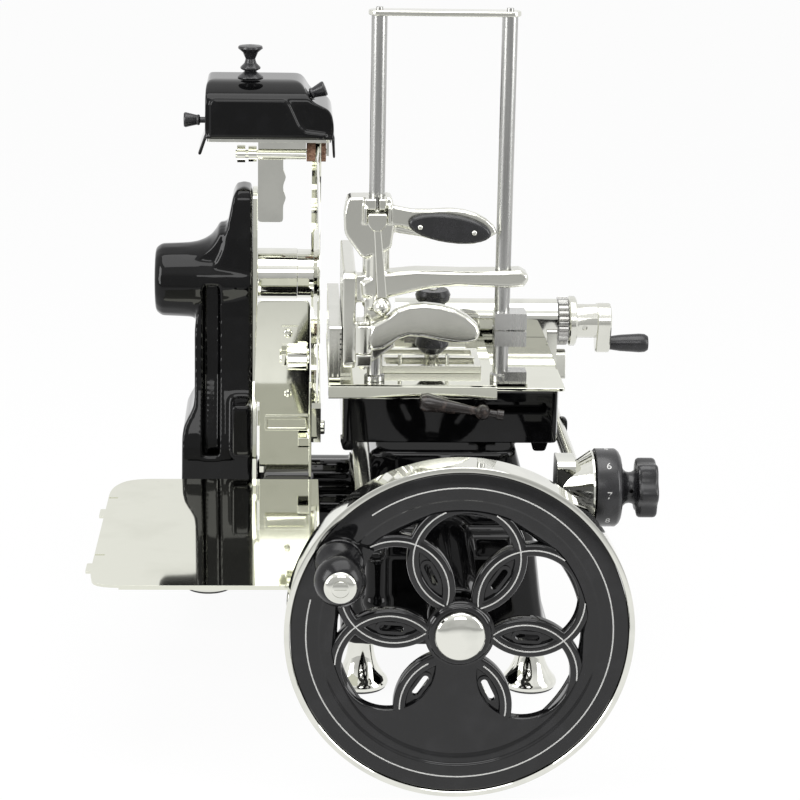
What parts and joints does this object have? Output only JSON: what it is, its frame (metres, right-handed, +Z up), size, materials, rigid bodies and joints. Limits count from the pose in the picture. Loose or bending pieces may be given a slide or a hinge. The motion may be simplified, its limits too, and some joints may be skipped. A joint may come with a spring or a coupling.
{
  "type": "flywheel meat slicer",
  "caption": "Hand-cranked slicer: a petal-pierced flywheel turns a round blade and, by crank and yoke, drives a sliding carriage with meat table, press, feed screw and slice tray.",
  "frame": {"origin": "on the bench, under the middle of the whole machine", "axes": "+X to the right of the person who turns the wheel, +Y away from that person, +Z up"},
  "size_m": [0.6788, 0.865, 0.815],
  "materials": {
    "black_enamel": "gloss stove enamel",
    "black_plastic": "moulded, satin gloss",
    "chrome": "polished plate",
    "stainless": "polished sheet with faint brushing",
    "cast_aluminium": "polished casting",
    "tool_steel": "machined",
    "bronze": "machined",
    "stone": null,
    "dark_lever": "dark baked finish"
  },
  "bodies": {
    "frame": {"base_casting": "black_enamel", "foot_front_left": "chrome", "foot_front_right": "chrome", "foot_rear_left": "chrome", "foot_rear_right": "chrome", "wheel_shaft_bush": "bronze", "left_rail": "chrome", "feed_control_rod": "chrome", "thickness_block": "chrome", "column_casting": "black_enamel", "column_cover": "stainless", "blade_collar": "chrome", "drive_chain": "tool_steel", "blade_guard": "stainless", "deflector_plate": "stainless", "slice_tray": "stainless", "sharpener_frame": "chrome"},
    "flywheel": {"flywheel_disc": "black_enamel", "flywheel_rim": "chrome", "flywheel_cap": "chrome", "wheel_shaft": "tool_steel", "crank_spindle": "chrome"},
    "crank_grip": {"crank_grip": "black_plastic"},
    "cross_shaft": {"cross_shaft": "tool_steel", "bevel_gear": "tool_steel", "carriage_crank": "tool_steel", "lower_sprocket": "tool_steel"},
    "blade": {"blade": "stainless", "blade_shaft": "chrome", "upper_sprocket": "tool_steel"},
    "deflector_knob": {"deflector_knob": "chrome"},
    "sharpener_hood": {"sharpener_hood": "black_enamel", "hood_knob": "black_plastic"},
    "left_button": {"left_button": "black_plastic"},
    "right_button": {"right_button": "black_plastic"},
    "left_stone": {"left_stone": "stone"},
    "right_stone": {"right_stone": "stone"},
    "thickness_dial": {"thickness_dial": "black_plastic"},
    "carriage": {"carriage_body": "black_enamel", "carriage_plate": "stainless", "crank_yoke": "tool_steel", "screw_cover": "chrome", "feed_bracket": "cast_aluminium"},
    "carriage_roller": {"carriage_roller": "tool_steel"},
    "clamp_lever": {"clamp_lever": "dark_lever"},
    "feed_screw": {"feed_screw": "tool_steel", "feed_crank": "cast_aluminium"},
    "feed_crank_grip": {"feed_crank_grip": "black_plastic"},
    "meat_table": {"meat_table": "stainless", "feed_nut": "tool_steel", "fence": "cast_aluminium", "post_left": "chrome", "post_right": "chrome", "top_bar": "cast_aluminium", "grip_frame": "cast_aluminium"},
    "frame_knob": {"frame_knob": "black_plastic"},
    "press": {"press_column": "cast_aluminium", "handle_grip": "black_plastic"},
    "release_lever": {"release_lever": "cast_aluminium"},
    "lower_handle": {"lower_handle": "cast_aluminium"}
  },
  "joints": [
    {"name": "flywheel_spin", "type": "hinge", "parent": "frame", "child": "flywheel", "pos_m": [0.0676, -0.33844, 0.193], "axis": [0, 1, 0], "continuous": true},
    {"name": "crank_grip_spin", "type": "hinge", "parent": "flywheel", "child": "crank_grip", "pos_m": [-0.06155, -0.38744, 0.27559], "axis": [0, 1, 0], "continuous": true},
    {"name": "cross_shaft_spin", "type": "hinge", "parent": "frame", "child": "cross_shaft", "pos_m": [0.0676, 0.21756, 0.193], "axis": [1, 0, 0], "continuous": true},
    {"name": "blade_spin", "type": "hinge", "parent": "frame", "child": "blade", "pos_m": [-0.0784, 0.26156, 0.445], "axis": [1, 0, 0], "continuous": true},
    {"name": "carriage_slide", "type": "slide", "parent": "frame", "child": "carriage", "axis": [0, 1, 0], "range_m": [-0.148, 0.108]},
    {"name": "carriage_roller_spin", "type": "hinge", "parent": "carriage", "child": "carriage_roller", "pos_m": [0.1456, 0.15656, 0.3113], "axis": [1, 0, 0], "continuous": true},
    {"name": "clamp_lever_turn", "type": "hinge", "parent": "carriage", "child": "clamp_lever", "pos_m": [0.1096, -0.04744, 0.353], "axis": [0, 1, 0], "range_deg": [-35, 25]},
    {"name": "feed_screw_turn", "type": "hinge", "parent": "carriage", "child": "feed_screw", "pos_m": [0.2216, 0.23156, 0.393], "axis": [1, 0, 0], "range_deg": [-121, 5281]},
    {"name": "feed_grip_spin", "type": "hinge", "parent": "feed_screw", "child": "feed_crank_grip", "pos_m": [0.2896, 0.23156, 0.3645], "axis": [1, 0, 0], "continuous": true},
    {"name": "table_slide", "type": "slide", "parent": "carriage", "child": "meat_table", "axis": [1, 0, 0], "range_m": [-0.002, 0.088]},
    {"name": "frame_knob_turn", "type": "hinge", "parent": "meat_table", "child": "frame_knob", "pos_m": [0.0546, 0.05056, 0.44], "axis": [0, 0, 1], "range_deg": [-720, 720]},
    {"name": "press_slide", "type": "slide", "parent": "meat_table", "child": "press", "axis": [0, 0, 1], "range_m": [-0.006, 0.19]},
    {"name": "release_lever_pull", "type": "hinge", "parent": "press", "child": "release_lever", "pos_m": [-0.0154, -0.03644, 0.578], "axis": [1, 0, 0], "range_deg": [-25, 0]},
    {"name": "lower_handle_swing", "type": "hinge", "parent": "press", "child": "lower_handle", "pos_m": [-0.0294, -0.03944, 0.44], "axis": [0, 0, 1], "range_deg": [-100, 0]},
    {"name": "thickness_dial_turn", "type": "hinge", "parent": "frame", "child": "thickness_dial", "pos_m": [0.2276, -0.21844, 0.317], "axis": [1, 0, 0], "range_deg": [-240, 60]},
    {"name": "deflector_knob_turn", "type": "hinge", "parent": "frame", "child": "deflector_knob", "pos_m": [-0.1044, 0.14556, 0.364], "axis": [1, 0, 0], "range_deg": [-360, 360]},
    {"name": "hood_lift", "type": "slide", "parent": "frame", "child": "sharpener_hood", "axis": [0, 0, 1], "range_m": [0, 0.09]},
    {"name": "left_button_push", "type": "slide", "parent": "sharpener_hood", "child": "left_button", "axis": [1, 0, 0], "range_m": [0, 0.004], "stiffness_N_per_m": 400},
    {"name": "right_button_push", "type": "slide", "parent": "sharpener_hood", "child": "right_button", "axis": [-0.9272, 0, -0.3746], "range_m": [0, 0.004], "stiffness_N_per_m": 400},
    {"name": "left_stone_spin", "type": "hinge", "parent": "frame", "child": "left_stone", "pos_m": [-0.0894, 0.25756, 0.602], "axis": [1, 0, 0], "continuous": true},
    {"name": "right_stone_spin", "type": "hinge", "parent": "frame", "child": "right_stone", "pos_m": [-0.0734, 0.25756, 0.602], "axis": [1, 0, 0], "continuous": true}
  ],
  "couplings": [
    {"joint": "cross_shaft_spin", "follows": "flywheel_spin", "ratio": 1},
    {"joint": "blade_spin", "follows": "flywheel_spin", "ratio": 1.5},
    {"joint": "feed_screw_turn", "follows": "table_slide", "rad_per_m": 1047.2}
  ]
}
